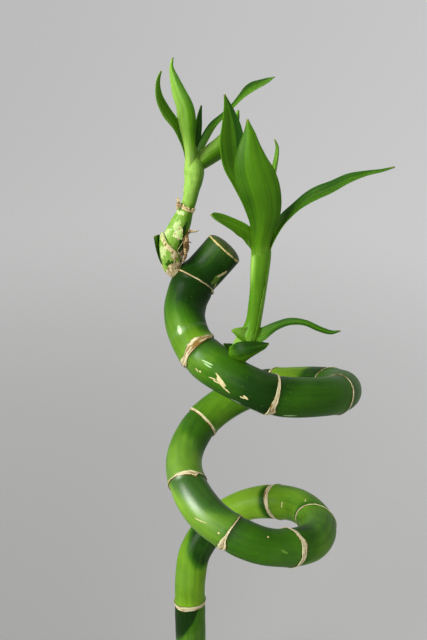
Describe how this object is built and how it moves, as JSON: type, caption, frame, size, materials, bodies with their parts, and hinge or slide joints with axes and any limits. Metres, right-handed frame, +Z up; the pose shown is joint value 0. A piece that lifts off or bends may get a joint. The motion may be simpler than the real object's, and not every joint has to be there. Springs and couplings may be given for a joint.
{
  "type": "lucky bamboo plant",
  "caption": "Curled green bamboo-like cane with ringed leaf scars, leafy side shoots and a sealed cut top, standing in a plain pale vase of pebbles and water.",
  "frame": {"origin": "middle of the vase's flat base, straight under the cane's foot", "axes": "+Z up along the straight foot of the cane; the view in the picture looks along +Y, with +X to its right"},
  "size_m": [0.1069, 0.0921, 0.4255],
  "materials": {
    "vase_glaze": "plain off-white glaze, glossy",
    "pebble_stone": "water-worn pebbles, pale grey and buff",
    "water": "clear still water",
    "cane_green": "smooth waxy green skin with tan papery leaf scars, satin gloss",
    "stalk_green": "smooth pale yellow-green sheath, satin",
    "leaf_green": "fresh leaf with fine lengthwise veins, satin",
    "bract_green": "dark green leathery bract, satin",
    "papery_scale": "dry tan and green bud scale, matte"
  },
  "bodies": {
    "root": {"vase": "vase_glaze", "pebbles": "pebble_stone", "water": "water", "cane": "cane_green", "left_shoot_stalk": "stalk_green", "right_shoot_stalk": "stalk_green", "left_leaf_main": "leaf_green", "left_leaf_outer": "leaf_green", "left_leaf_inner": "leaf_green", "left_leaf_long": "leaf_green", "right_leaf_broad": "leaf_green", "right_leaf_back": "leaf_green", "right_leaf_short": "leaf_green", "right_leaf_narrow": "leaf_green", "right_leaf_long": "leaf_green", "right_leaf_strap": "leaf_green", "right_bract_boat": "bract_green", "right_bract_dark": "bract_green", "right_bract_small": "bract_green", "left_scale_cup": "papery_scale"}
  },
  "joints": []
}
